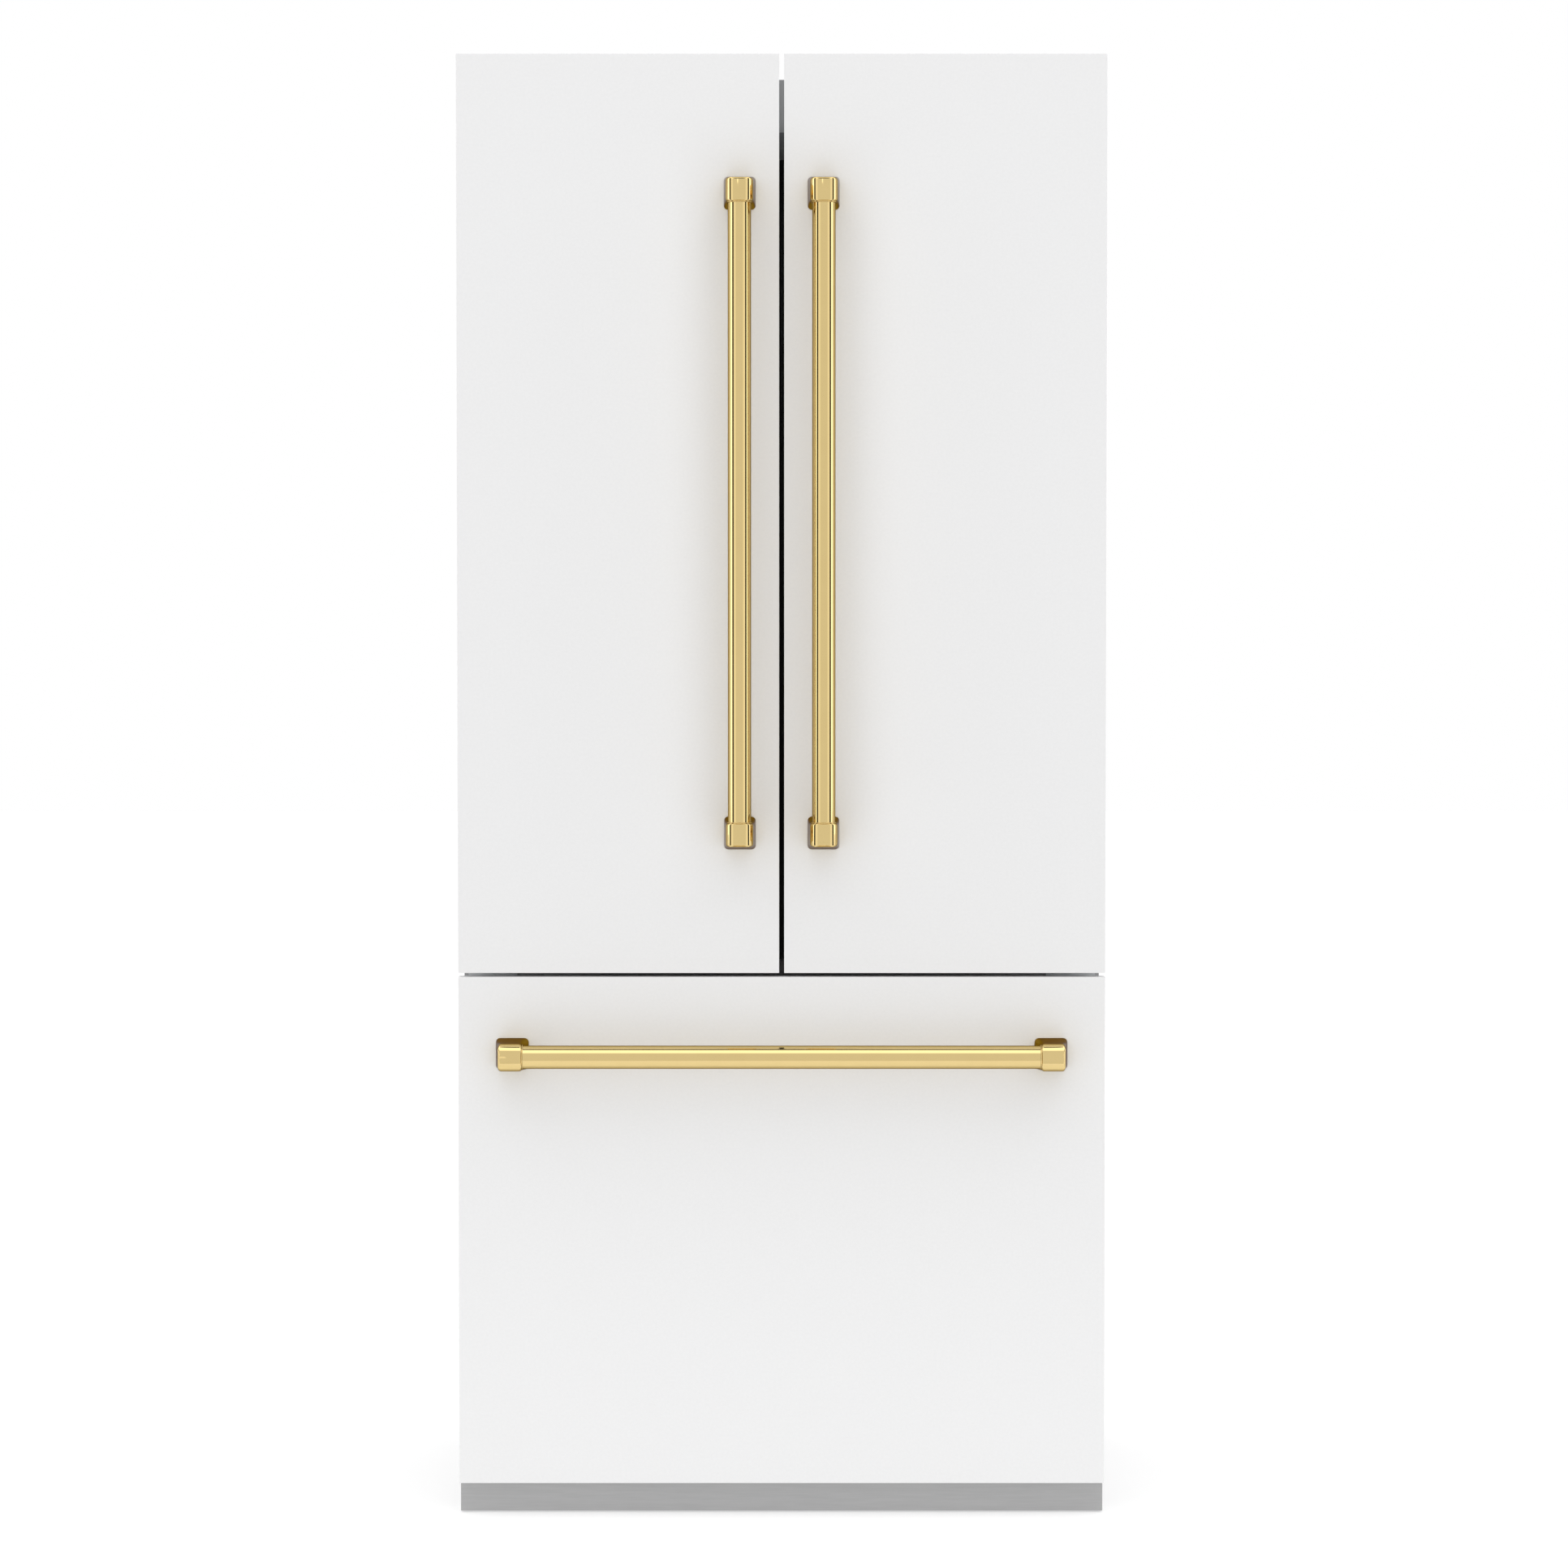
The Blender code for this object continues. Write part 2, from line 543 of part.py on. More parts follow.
for tag, s in (("left", -1), ("right", 1)):
    swing = joint(f"{tag}_door_joint", s * PIVOT_X, PIVOT_Y, 1350)
    overlay(f"{tag}_door_panel", side(s, CENTRE_GAP, PANEL_HALF_W), (DOOR_BOTTOM, HEIGHT), swing)
    body = block(f"{tag}_door_body", side(s, CENTRE_GAP + 1.6, PANEL_HALF_W - 1.6), (PANEL_FRONT + 1.6, -253.3), (DOOR_BOTTOM + 1.6, HEIGHT - 1.6))
    join(body, block(f"{tag}_core", side(s, BODY_INNER, BODY_OUTER), (-256, BODY_BACK), BODY_Z))
    for i, x in enumerate(((46, 62), (374, 390))):
        join(body, block(f"{tag}_dyke_{i}", side(s, *x), (-212, -170), (830, 1872)))
    for i, (z0, _) in enumerate(BIN_Z):
        join(body, block(f"{tag}_lug_{i}_a", side(s, 58, 72), (-200, -176), (z0 - 12, z0 - 0.4)))
        join(body, block(f"{tag}_lug_{i}_b", side(s, 364, 378), (-200, -176), (z0 - 12, z0 - 0.4)))
    if tag == "left":
        for i, z in enumerate(((804, 810), (1882, 1888))):
            plate = outline(f"mullion_lug_{i}", [(-50, -209), (-34, -209), (-34, -196.4), (-20, -196.4), (-20, -178), (-50, -178)], z)
            join(body, plate)
            cut(body, rod(f"cut_mullion_pin_{i}", (MULLION_X, MULLION_Y, (z[0] + z[1]) / 2), 3.4, 20, "Z", 16))
    for i, z in enumerate((783, 1921)):
        cut(body, rod(f"{tag}_pin_bore_{i}", (s * PIVOT_X, PIVOT_Y, z), 6.45, 30, "Z", 24))
    finish(body, DOOR, swing)
    ring_seal(f"{tag}_door_gasket", side(s, 13, 430), (780, 1922), 20, swing, side(s, 1.2, 15))
    for (z0, z1), deep, level in zip(BIN_Z, BIN_BACK, ("bottom", "middle", "top")):
        tray = open_box(f"{tag}_bin_{level}", side(s, 64.5, 371.5), (-207.5, deep), (z0, z1), ["+Z"], 3.0)
        finish(tray, CLEAR, swing)
    bar(f"{tag}_handle_bar", s * HANDLE_X, (HANDLE_Z[0] + 9, HANDLE_Z[1] - 9), "Z", swing)
    post(f"{tag}_handle_post_top", HANDLE_Z[1], -1, s * HANDLE_X, "Z", swing)
    post(f"{tag}_handle_post_bottom", HANDLE_Z[0], 1, s * HANDLE_X, "Z", swing)
    if tag == "left":
        left_swing = swing

# Flipper mullion, folded back behind the left door's free edge.
fold = joint("mullion_joint", MULLION_X, MULLION_Y, 1350)
hang(fold, left_swing)
shape = [(10, 61), (7, 64), (-7, 64), (-10, 61)] + arc(0, 0, 10, 180, 360, 10)
shape = [(MULLION_X + x, MULLION_Y + y) for x, y in shape]
mullion = outline("mullion", shape, (812, 1880))
join(mullion, rod("mullion_pin_top", (MULLION_X, MULLION_Y, 1883), 3, 9, "Z", 16), rod("mullion_pin_bottom", (MULLION_X, MULLION_Y, 809), 3, 9, "Z", 16))
finish(mullion, DARK, fold)

# ---------------------------------------------------------------- freezer drawer
pull = joint("freezer_drawer_joint", 0, PANEL_FRONT, 400)
overlay("drawer_panel", (-PANEL_HALF_W, PANEL_HALF_W), (DRAWER_BOTTOM, DRAWER_TOP), pull)
body = block("drawer_body", (-PANEL_HALF_W + 1.6, PANEL_HALF_W - 1.6), (PANEL_FRONT + 1.6, -253.3), (DRAWER_BOTTOM + 1.6, DRAWER_TOP - 1.6))
join(body, block("drawer_core", (-BODY_OUTER, BODY_OUTER), (-256, BODY_BACK), (106, 724)))
finish(body, DOOR, pull)
ring_seal("drawer_gasket", (-430, 430), (108, 722), 20, pull)
bar("drawer_handle_bar", DRAWER_HANDLE_Z, (-DRAWER_HANDLE_HALF + 9, DRAWER_HANDLE_HALF - 9), "X", pull)
post("drawer_handle_post_left", -DRAWER_HANDLE_HALF, 1, DRAWER_HANDLE_Z, "X", pull)
post("drawer_handle_post_right", DRAWER_HANDLE_HALF, -1, DRAWER_HANDLE_Z, "X", pull)

# Lower basket, carried between the two drawer members of the slides.
basket = open_box("freezer_lower_basket", (-386, 386), (-194, 80), (146, 400), ["+Z"], 3.0)
for s in (-1, 1):
    join(
        basket,
        block(f"drawer_member_{s}", side(s, 384.5, 397.4), (-206, 170), (355.2, 390.8)),
        block(f"basket_bracket_{s}", side(s, 250, 290), (-207.5, -192.5), (180, 392)),
    )
finish(basket, CLEAR, pull)

# Telescopic slides: cabinet members on the liner walls, middle members tied by an anti-rack bar.
for tag, s in (("left", -1), ("right", 1)):
    channel = block(f"slide_outer_{tag}", side(s, 391.6, 402.6), (-190, 200), (350, 396))
    cut(channel, block(f"cut_outer_{tag}", side(s, 380, 400.6), (-200, 210), (352, 394)))
    finish(channel, ZINC)

stage = joint("slide_middle_joint", 0, -188, 373)
carriage = block("slide_middle", (-400, -392.5), (-188, 198), (352.6, 393.4))
cut(carriage, block("cut_middle_left", (-398, -380), (-200, 210), (354.6, 391.4)))
channel = block("middle_right", (392.5, 400), (-188, 198), (352.6, 393.4))
cut(channel, block("cut_middle_right", (380, 398), (-200, 210), (354.6, 391.4)))
join(carriage, channel, block("anti_rack_bar", (-399, 399), (180, 196), (366, 378)))
finish(carriage, ZINC, stage)

# Upper basket on its own ledges.
lift = joint("upper_basket_joint", 0, -150, 446)
upper = open_box("freezer_upper_basket", (-384, 384), (-150, 195), (446, 590), ["+Z"], 3.0)
for s in (-1, 1):
    join(upper, block(f"upper_runner_{s}", side(s, 378, 400), (-149, 194), (440.4, 448)))
finish(upper, CLEAR, lift)

# Round pieces are shaded smooth.
for o in parts.objects:
    if o.name.startswith(("compressor", "front_leg", "condenser_", "evaporator_", "upper_hinge", "centre_hinge", "mullion")):
        smooth(o)
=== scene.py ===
import math

import bmesh
import bpy
from mathutils import Matrix, Vector


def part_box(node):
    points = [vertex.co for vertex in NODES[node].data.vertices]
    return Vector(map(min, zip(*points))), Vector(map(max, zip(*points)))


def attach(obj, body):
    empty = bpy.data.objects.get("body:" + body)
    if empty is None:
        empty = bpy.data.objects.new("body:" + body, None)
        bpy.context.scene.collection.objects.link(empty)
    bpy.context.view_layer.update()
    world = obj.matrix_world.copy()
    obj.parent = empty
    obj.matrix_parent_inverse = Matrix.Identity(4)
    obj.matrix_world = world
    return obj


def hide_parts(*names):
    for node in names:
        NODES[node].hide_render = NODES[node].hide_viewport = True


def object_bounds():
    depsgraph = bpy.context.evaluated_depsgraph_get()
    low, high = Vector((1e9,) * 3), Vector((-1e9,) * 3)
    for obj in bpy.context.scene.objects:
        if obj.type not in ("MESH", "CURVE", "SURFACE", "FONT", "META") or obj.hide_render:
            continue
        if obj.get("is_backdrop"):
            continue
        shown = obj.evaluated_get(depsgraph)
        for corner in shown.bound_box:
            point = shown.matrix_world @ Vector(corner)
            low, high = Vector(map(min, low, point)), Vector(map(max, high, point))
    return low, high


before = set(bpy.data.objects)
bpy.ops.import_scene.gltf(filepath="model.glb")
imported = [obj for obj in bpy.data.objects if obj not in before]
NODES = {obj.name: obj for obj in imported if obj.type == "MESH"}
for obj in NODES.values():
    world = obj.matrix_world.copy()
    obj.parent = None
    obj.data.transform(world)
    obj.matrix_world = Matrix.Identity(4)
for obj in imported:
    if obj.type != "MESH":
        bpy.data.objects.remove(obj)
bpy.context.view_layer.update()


# ------------------------------------------------------------------ materials
def material(name):
    m = bpy.data.materials.new(name)
    m.use_nodes = True
    nt = m.node_tree
    return m, nt, nt.nodes["Principled BSDF"]


def coords(nt, scale=(1, 1, 1)):
    tc = nt.nodes.new("ShaderNodeTexCoord")
    mp = nt.nodes.new("ShaderNodeMapping")
    mp.inputs["Scale"].default_value = scale
    nt.links.new(tc.outputs["Object"], mp.inputs["Vector"])
    return mp.outputs["Vector"]


def noise(nt, vector, scale, detail=3.0, rough=0.55):
    n = nt.nodes.new("ShaderNodeTexNoise")
    n.inputs["Scale"].default_value = scale
    n.inputs["Detail"].default_value = detail
    n.inputs["Roughness"].default_value = rough
    nt.links.new(vector, n.inputs["Vector"])
    return n.outputs["Fac"]


def span(nt, value, lo, hi, from_lo=0.3, from_hi=0.7):
    r = nt.nodes.new("ShaderNodeMapRange")
    r.inputs["From Min"].default_value = from_lo
    r.inputs["From Max"].default_value = from_hi
    r.inputs["To Min"].default_value = lo
    r.inputs["To Max"].default_value = hi
    nt.links.new(value, r.inputs["Value"])
    return r.outputs["Result"]


def blend_colours(nt, factor, a, b):
    mix = nt.nodes.new("ShaderNodeMix")
    mix.data_type = "RGBA"
    nt.links.new(factor, mix.inputs["Factor"])
    mix.inputs["A"].default_value = (*a, 1)
    mix.inputs["B"].default_value = (*b, 1)
    return mix.outputs["Result"]


def bump(nt, shader, height, strength, distance):
    b = nt.nodes.new("ShaderNodeBump")
    b.inputs["Strength"].default_value = strength
    b.inputs["Distance"].default_value = distance
    nt.links.new(height, b.inputs["Height"])
    nt.links.new(b.outputs["Normal"], shader.inputs["Normal"])


def finish_of(name, a, b, rough, metallic=0.0, stretch=(1, 1, 1), colour_scale=90.0, grain_scale=900.0, grain=0.12, depth=0.0002, **sockets):
    """A moulded, painted or drawn surface: colour varies from a to b, roughness varies round its value, and a fine grain lifts it."""
    m, nt, s = material(name)
    v = coords(nt, stretch)
    broad = noise(nt, v, colour_scale)
    nt.links.new(blend_colours(nt, span(nt, broad, 0.0, 1.0), a, b), s.inputs["Base Color"])
    nt.links.new(span(nt, noise(nt, v, colour_scale * 2.3), rough * 0.88, min(1.0, rough * 1.12)), s.inputs["Roughness"])
    s.inputs["Metallic"].default_value = metallic
    bump(nt, s, noise(nt, v, grain_scale, 2.0), grain, depth)
    for key, value in sockets.items():
        s.inputs[key.replace("_", " ")].default_value = value
    return m


WHITE = finish_of("white_matte_paint", (0.815, 0.815, 0.818), (0.835, 0.835, 0.838), 0.62, colour_scale=260, grain_scale=1500, grain=0.22, depth=0.00012)
GOLD = finish_of("polished_gold_plate", (0.733, 0.561, 0.254), (0.749, 0.576, 0.263), 0.055, 1.0, colour_scale=30, grain_scale=260, grain=0.015, depth=0.00005)
GOLD.node_tree.nodes["Principled BSDF"].inputs["Specular Tint"].default_value = (0.23, 0.165, 0.115, 1)
GREY = finish_of("grey_cabinet_paint", (0.335, 0.335, 0.340), (0.350, 0.350, 0.355), 0.5, 0.0, colour_scale=420, grain_scale=1500, grain=0.20)
KICK = finish_of("kick_plate_brushed", (0.390, 0.390, 0.392), (0.420, 0.420, 0.422), 0.42, 0.35, (0.05, 1, 1), 420, 1600, 0.08)
LINER = finish_of("liner_gloss_white", (0.82, 0.835, 0.845), (0.832, 0.847, 0.857), 0.30, colour_scale=9, grain_scale=600, grain=0.03)
DOORSKIN = finish_of("door_liner_white", (0.80, 0.815, 0.825), (0.812, 0.827, 0.837), 0.34, colour_scale=9, grain_scale=700, grain=0.04)
RUBBER = finish_of("gasket_rubber", (0.018, 0.018, 0.019), (0.030, 0.030, 0.031), 0.62, colour_scale=120, grain_scale=1500, grain=0.2)
DARK = finish_of("dark_moulded_plastic", (0.040, 0.040, 0.043), (0.055, 0.055, 0.058), 0.5, colour_scale=80, grain_scale=1400, grain=0.3)
GUIDE = finish_of("guide_grey_plastic", (0.09, 0.09, 0.092), (0.12, 0.12, 0.122), 0.5, colour_scale=80, grain_scale=1400, grain=0.3)
ZINC = finish_of("zinc_plated_steel", (0.53, 0.54, 0.55), (0.57, 0.58, 0.59), 0.34, 0.85, colour_scale=160, grain_scale=900, grain=0.08)
COPPER = finish_of("copper_tube", (0.62, 0.30, 0.18), (0.74, 0.40, 0.26), 0.28, 1.0, colour_scale=50, grain_scale=500, grain=0.08)
SHELL = finish_of("compressor_enamel", (0.012, 0.012, 0.013), (0.022, 0.022, 0.024), 0.3, colour_scale=30, grain_scale=300, grain=0.15)
FOAM = finish_of("polyurethane_foam", (0.62, 0.52, 0.30), (0.74, 0.64, 0.40), 0.95, colour_scale=60, grain_scale=260, grain=0.8, depth=0.001)
TRIM = finish_of("satin_silver_trim", (0.60, 0.61, 0.62), (0.63, 0.64, 0.65), 0.32, 0.6, (0.02, 1, 1), 1500, 2600, 0.05)
BACK, nt, s = material("galvanised_back_sheet")
v = coords(nt)
cell = nt.nodes.new("ShaderNodeTexVoronoi")
cell.inputs["Scale"].default_value = 95
nt.links.new(v, cell.inputs["Vector"])
split = nt.nodes.new("ShaderNodeSeparateColor")
nt.links.new(cell.outputs["Color"], split.inputs[0])
nt.links.new(blend_colours(nt, split.outputs[0], (0.375, 0.385, 0.395), (0.415, 0.425, 0.435)), s.inputs["Base Color"])
nt.links.new(span(nt, split.outputs[1], 0.40, 0.52, 0.0, 1.0), s.inputs["Roughness"])
s.inputs["Metallic"].default_value = 0.75
bump(nt, s, noise(nt, v, 500, 2.0), 0.06, 0.0002)
# Near-black rubber with little gloss for the door-edge seals: partly the seal's own black, partly painted shade for the
# slit between the doors.
SEAL_AND_PAINTED_SHADE = finish_of("black_seal_rubber_painted_slit_shade", (0.003, 0.003, 0.003), (0.006, 0.006, 0.006), 0.8, colour_scale=120, grain_scale=1500, grain=0.2, Specular_IOR_Level=0.1)
COVER = finish_of("machine_cover_paint", (0.11, 0.11, 0.115), (0.14, 0.14, 0.145), 0.55, 0.0, colour_scale=90, grain_scale=1100, grain=0.25)
LAMP, nt, s = material("lamp_diffuser")
nt.links.new(blend_colours(nt, noise(nt, coords(nt), 60), (0.90, 0.92, 0.94), (0.96, 0.97, 0.98)), s.inputs["Base Color"])
s.inputs["Emission Color"].default_value = (0.92, 0.96, 1.0, 1)
s.inputs["Emission Strength"].default_value = 0.8


def clear(name, tint_a, tint_b, rough, alpha, ior=1.49):
    m = finish_of(name, tint_a, tint_b, rough, colour_scale=18, grain_scale=240, grain=0.03, IOR=ior)
    m.node_tree.nodes["Principled BSDF"].inputs["Alpha"].default_value = alpha
    return m


CLEAR = clear("clear_polystyrene", (0.80, 0.88, 0.91), (0.86, 0.92, 0.94), 0.08, 0.22)
GLASS = clear("tempered_glass", (0.74, 0.88, 0.84), (0.80, 0.92, 0.88), 0.05, 0.30, 1.52)
EDGE = clear("frosted_edge", (0.84, 0.91, 0.93), (0.90, 0.95, 0.96), 0.32, 0.72)


# ------------------------------------------------------------------ mesh helpers (millimetres in, metres out)
MM = 0.001


def piece(name, bm, mat, body, *, replaces=(), smooth=30, bevel=0.0, segments=2):
    bmesh.ops.remove_doubles(bm, verts=bm.verts, dist=1e-6)
    bmesh.ops.recalc_face_normals(bm, faces=bm.faces)
    mesh = bpy.data.meshes.new(name)
    bm.to_mesh(mesh)
    bm.free()
    mesh.materials.append(mat)
    o = bpy.data.objects.new(name, mesh)
    bpy.context.scene.collection.objects.link(o)
    if bevel:
        b = o.modifiers.new("edges", "BEVEL")
        b.width = bevel * MM
        b.segments = segments
        b.limit_method = "ANGLE"
        b.angle_limit = math.radians(40)
        b.harden_normals = False
    mesh.shade_smooth()
    mesh.set_sharp_from_angle(angle=math.radians(smooth))
    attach(o, body)
    if replaces:
        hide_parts(*replaces)
    return o


def rounded(w, h, r, n=6, shift=(0, 0)):
    """Corner points of a rounded rectangle, counterclockwise, half sizes w and h."""
    r = max(0.01, min(r, w - 0.01, h - 0.01))
    out = []
    for cx, cy, a0 in ((w - r, h - r, 0), (-w + r, h - r, 90), (-w + r, -h + r, 180), (w - r, -h + r, 270)):
        for i in range(n + 1):
            a = math.radians(a0 + 90 * i / n)
            out.append((cx + r * math.cos(a) + shift[0], cy + r * math.sin(a) + shift[1]))
    return out


def loft(bm, rings, caps=(True, True)):
    made = [[bm.verts.new(Vector(p) * MM) for p in ring] for ring in rings]
    n = len(made[0])
    for a, b in zip(made, made[1:]):
        for i in range(n):
            bm.faces.new((a[i], a[(i + 1) % n], b[(i + 1) % n], b[i]))
    if caps[0]:
        bm.faces.new(made[0][::-1])
    if caps[1]:
        bm.faces.new(made[-1])
    return made


def mid(node):
    lo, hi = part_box(node)
    return (lo + hi) / 2 / MM, lo / MM, hi / MM


# ------------------------------------------------------------------ handles
def handle(prefix, body, bar, posts, along):
    c, lo, hi = mid(bar)
    k = 2 if along == "Z" else 0
    axis_x, axis_z = c.x, c.z

    def place(across, depth_y, u):
        return (axis_x + across, depth_y, u) if along == "Z" else (u, depth_y, axis_z + across)

    axis_y = c.y
    radius = (hi.y - lo.y) / 2
    # bar
    bm = bmesh.new()
    rings = []
    for u in (lo[k], hi[k]):
        rings.append([place(radius * math.cos(a), axis_y + radius * math.sin(a), u) for a in (math.tau * i / 96 for i in range(96))])
    loft(bm, rings)
    piece(f"{prefix}_bar_tube", bm, GOLD, body, replaces=(bar,), smooth=40)
    # end brackets
    for tag, node, toward in posts:
        pc, plo, phi = mid(node)
        foot_y, nose_y = phi.y, plo.y
        depth = foot_y - nose_y
        outer = plo[k] if toward > 0 else phi[k]
        inner_foot = phi[k] if toward > 0 else plo[k]
        rings = []

        def ring(y, half_across, out_in, in_in, r):
            a0 = outer + toward * out_in
            a1 = inner_foot - toward * in_in
            u_mid, u_half = (a0 + a1) / 2, abs(a1 - a0) / 2
            rings.append([place(px, y, u_mid + pu) for px, pu in rounded(half_across, u_half, r)])

        waist = axis_y + 4
        ring(foot_y, 21.2, 0.8, 0.8, 5.5)
        ring(foot_y - 0.9, 22.0, 0.0, 0.0, 6.0)
        for t in (0.33, 0.66, 1.0):
            y = foot_y + (waist - foot_y) * t
            ring(y, 22 - 2.6 * t, 6.5 * t, 6.5 * t, 6.0 - 2.0 * t)
        across_r, deep_r = 15.5, 14.0
        flat = nose_y + deep_r
        ring(flat + 2, 19.1, 6.5, 6.5, 4.0)
        for i in range(0, 15):
            a = math.radians(90 * i / 14)
            y = flat - deep_r * math.sin(a)
            inset = across_r * (1 - math.cos(a))
            end = 3.0 * max(0.0, math.sin(a) - 0.75) / 0.25
            ring(y, 19.0 - inset, 6.5 + end, 6.5 + 0.3 * end, max(0.6, 4.0 - 3.2 * math.sin(a) ** 3))
        bm = bmesh.new()
        loft(bm, rings)
        piece(f"{prefix}_bracket_{tag}", bm, GOLD, body, replaces=(node,), smooth=38)
        # bead where the bar enters the bracket
        bm = bmesh.new()
        u = inner_foot - toward * 6.2
        bead = []
        for j in range(12):
            b = math.tau * j / 12
            bead.append([place((radius + 0.9 + 1.0 * math.cos(b)) * math.cos(a), axis_y + (radius + 0.9 + 1.0 * math.cos(b)) * math.sin(a), u + 1.0 * math.sin(b)) for a in (math.tau * i / 72 for i in range(72))])
        loft(bm, bead + [bead[0]], caps=(False, False))
        piece(f"{prefix}_collar_{tag}", bm, GOLD, body, smooth=60)


for side in ("left", "right"):
    handle(f"{side}_handle", f"{side}_door", f"{side}_handle_bar", (("top", f"{side}_handle_post_top", -1), ("bottom", f"{side}_handle_post_bottom", 1)), "Z")
handle("drawer_handle", "freezer_drawer", "drawer_handle_bar", (("left", "drawer_handle_post_left", 1), ("right", "drawer_handle_post_right", -1)), "X")


# ------------------------------------------------------------------ clear tubs: bins, crispers, baskets
def tub(name, node, body, wall=3.0, corner=16.0, draft=5.0, rim=4.0, keep=True):
    """A moulded open tub that fills the node's box: rounded corners, drafted sides, a rolled rim and a thick floor."""
    c, lo, hi = mid(node)
    if isinstance(keep, tuple):
        lo, hi = Vector(keep[0]), Vector(keep[1])
        c = (lo + hi) / 2
    w, h = (hi.x - lo.x) / 2, (hi.y - lo.y) / 2
    shift = (c.x, c.y)
    bm = bmesh.new()
    rings = []

    def ring(z, inset, r):
        rings.append([(x, y, z) for x, y in rounded(w - inset, h - inset, r, 7, shift)])

    # up the outside, over the rim, down the inside
    ring(lo.z, draft + 7, corner - 5)
    ring(lo.z + 2.2, draft + 2.2, corner - 2)
    ring(lo.z + 8, draft, corner)
    ring(hi.z - rim - 1.5, 2.4, corner)
    ring(hi.z - rim, 0.2, corner)
    ring(hi.z - 1.2, 0.0, corner)
    ring(hi.z, 1.0, corner)
    ring(hi.z, 2.4, corner)
    ring(hi.z - 1.4, wall + 2.2, corner - 2)
    ring(lo.z + 11, draft + wall, corner - 2)
    ring(lo.z + 5.5, draft + wall + 2.2, corner - 4)
    ring(lo.z + 3.4, draft + wall + 8, corner - 8)
    loft(bm, rings)
    return piece(name, bm, CLEAR, body, replaces=(node,), smooth=38)


def strip(name, lo, hi, mat, body, bevel=1.5, segments=3):
    """A trim piece with rounded edges between two corners, in millimetres."""
    bm = bmesh.new()
    bmesh.ops.create_cube(bm, size=1.0)
    size = Vector(hi) - Vector(lo)
    bmesh.ops.scale(bm, vec=size * MM, verts=bm.verts)
    bmesh.ops.translate(bm, vec=(Vector(lo) + Vector(hi)) / 2 * MM, verts=bm.verts)
    return piece(name, bm, mat, body, bevel=bevel, segments=segments, smooth=40)


for side in ("left", "right"):
    for level in ("bottom", "middle", "top"):
        node = f"{side}_bin_{level}"
        c, lo, hi = mid(node)
        tub(f"{node}_tub", node, f"{side}_door")
        strip(f"{node}_rail", (lo.x + 5, hi.y - 4.6, hi.z - 15), (hi.x - 5, hi.y - 0.4, hi.z - 4), TRIM, f"{side}_door", 1.4)
    node = f"crisper_{side}"
    c, lo, hi = mid(node)
    tub(f"{node}_tub", node, node, corner=12, draft=3, keep=((lo.x, lo.y + 9, lo.z), (hi.x, hi.y, hi.z)))
    strip(f"{node}_pull", (lo.x + 1, lo.y, hi.z - 30), (hi.x - 1, lo.y + 11, hi.z - 1), TRIM, node, 3.0)

c, lo, hi = mid("freezer_upper_basket")
tub("upper_basket_tub", "freezer_upper_basket", "upper_basket", corner=18, keep=((lo.x + 16.5, lo.y, lo.z + 6), (hi.x - 16.5, hi.y, hi.z)))
for s in (-1, 1):
    x0, x1 = sorted((s * 379, s * 399.5))
    strip(f"upper_basket_runner_{'left' if s < 0 else 'right'}", (x0, lo.y + 2, lo.z + 0.3), (x1, hi.y - 2, lo.z + 8), EDGE, "upper_basket", 1.2)
    x0, x1 = sorted((s * 385, s * 397.2))
    strip(f"drawer_slide_member_{'left' if s < 0 else 'right'}", (x0, -206, 355.4), (x1, 170, 390.6), ZINC, "freezer_drawer", 1.0)
    x0, x1 = sorted((s * 250, s * 290))
    strip(f"basket_hanger_{'left' if s < 0 else 'right'}", (x0, -207.4, 180), (x1, -192, 392), ZINC, "freezer_drawer", 1.5)
tub("lower_basket_tub", "freezer_lower_basket", "freezer_drawer", corner=20, draft=4, keep=((-386, -194, 146), (386, 80, 400)))


# ------------------------------------------------------------------ carried-over nodes: softened edges and finishes
def keep(node, mat, bevel=0.6, segments=2):
    o = NODES[node]
    o.data.materials.clear()
    o.data.materials.append(mat)
    for poly in o.data.polygons:
        poly.material_index = 0
    if bevel:
        w = o.modifiers.new("weld", "WELD")
        w.merge_threshold = 0.00001
        b = o.modifiers.new("edges", "BEVEL")
        b.width = bevel * MM
        b.segments = segments
        b.limit_method = "ANGLE"
        b.angle_limit = math.radians(50)


for n in ("left_door_panel", "right_door_panel", "drawer_panel"):
    keep(n, WHITE, 0.5, 3)
keep("cabinet_case", GREY, 0.35)
keep("kick_plate", KICK, 0.6)
keep("cabinet_back", BACK, 0.0)
keep("insulation_foam", FOAM, 0.0)
for n in ("fridge_liner", "freezer_liner"):
    keep(n, LINER, 0.6)
for n in ("freezer_back_cover", "air_duct_cover"):
    keep(n, LINER, 1.0)
for n in ("left_door_body", "right_door_body", "drawer_body"):
    keep(n, DOORSKIN, 1.5, 3)
for n in ("left_door_gasket", "right_door_gasket", "drawer_gasket"):
    keep(n, RUBBER, 0.7)
for n in ("mullion", "front_leg_left", "front_leg_right", "condenser_fan_shroud", "condenser_fan", "evaporator_fan"):
    keep(n, DARK, 0.4)
keep("mullion_guide", GUIDE, 0.4)
for n in ("base_frame", "upper_hinge_left", "upper_hinge_right", "centre_hinge_left", "centre_hinge_right", "slide_outer_left", "slide_outer_right", "slide_middle"):
    keep(n, ZINC, 0.3)
for n in ("condenser_coil", "evaporator_coil"):
    keep(n, COPPER, 0.0)
keep("compressor", SHELL, 0.0)
for n in ("lower_shelf_frame", "upper_shelf_frame", "control_panel"):
    keep(n, TRIM, 0.8)
for n in ("lower_shelf_glass", "upper_shelf_glass", "crisper_cover"):
    keep(n, GLASS, 0.3)

